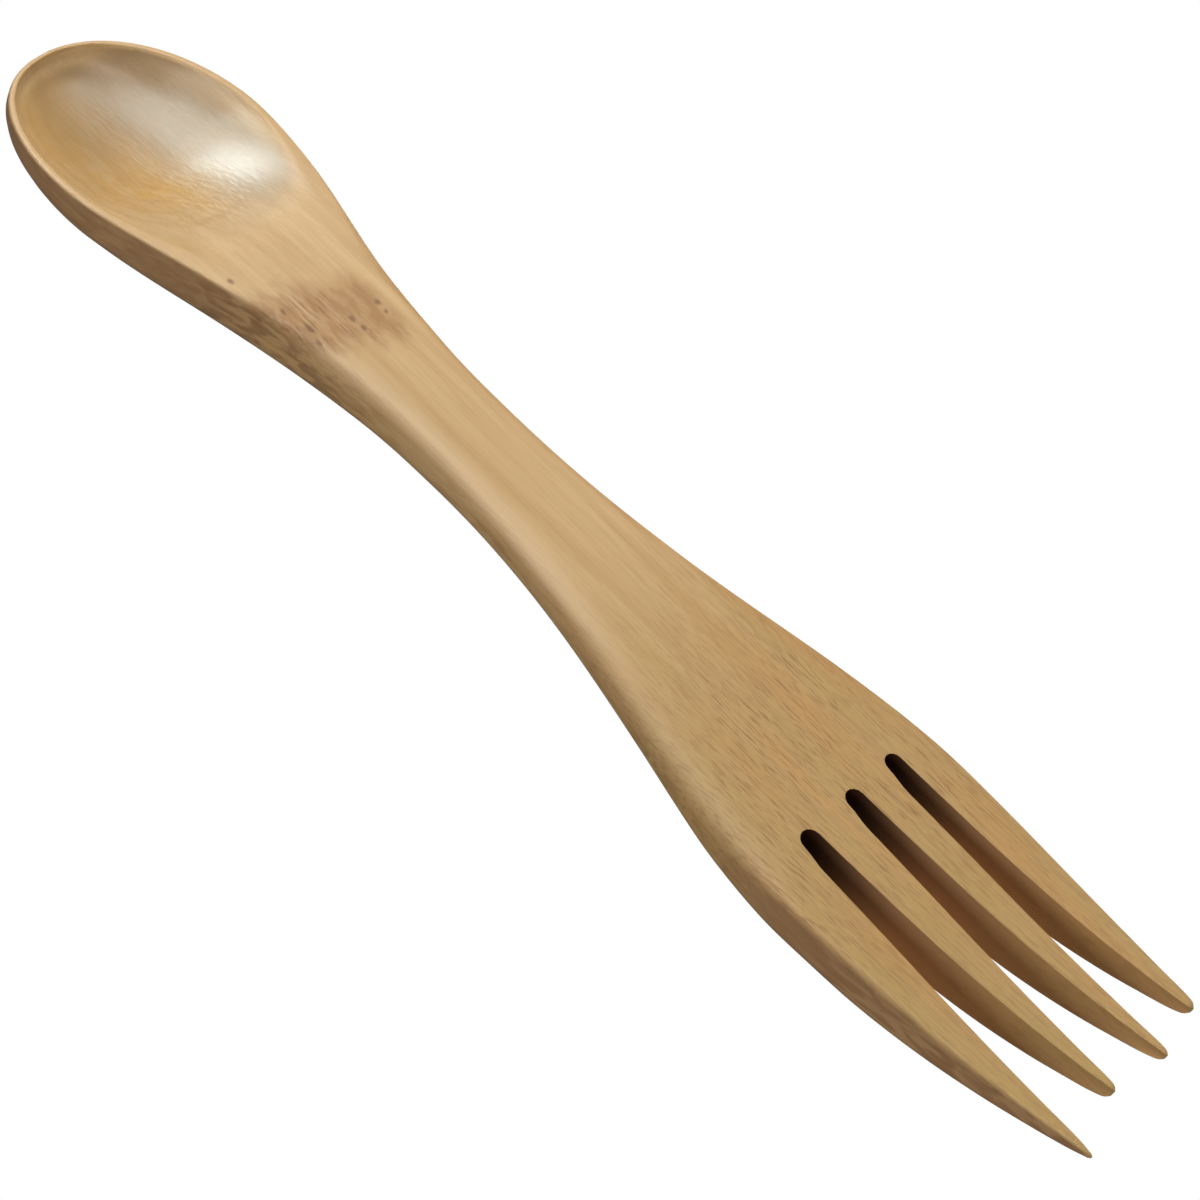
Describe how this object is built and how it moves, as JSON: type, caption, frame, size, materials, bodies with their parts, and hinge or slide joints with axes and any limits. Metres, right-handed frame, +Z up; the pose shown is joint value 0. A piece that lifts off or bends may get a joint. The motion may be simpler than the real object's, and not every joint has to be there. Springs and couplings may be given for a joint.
{
  "type": "spork",
  "caption": "One-piece carved bamboo utensil with an oval spoon bowl at one end and a flared fork at the other",
  "frame": {"origin": "Under the middle of the utensil's length, on the surface that it lies on", "axes": "+X along the strip from the bowl to the fork, +Y across it to the left seen from the grip facing the fork, +Z up out of the bowl"},
  "size_m": [0.17, 0.0322, 0.0091],
  "materials": {
    "bamboo": "smooth sanded bamboo with a thin clear oil finish, glossier in the bowl"
  },
  "bodies": {
    "root": {"bowl": "bamboo", "neck": "bamboo", "grip": "bamboo", "fork_head": "bamboo", "tine_left_outer": "bamboo", "tine_left_inner": "bamboo", "tine_right_inner": "bamboo", "tine_right_outer": "bamboo"}
  },
  "joints": []
}
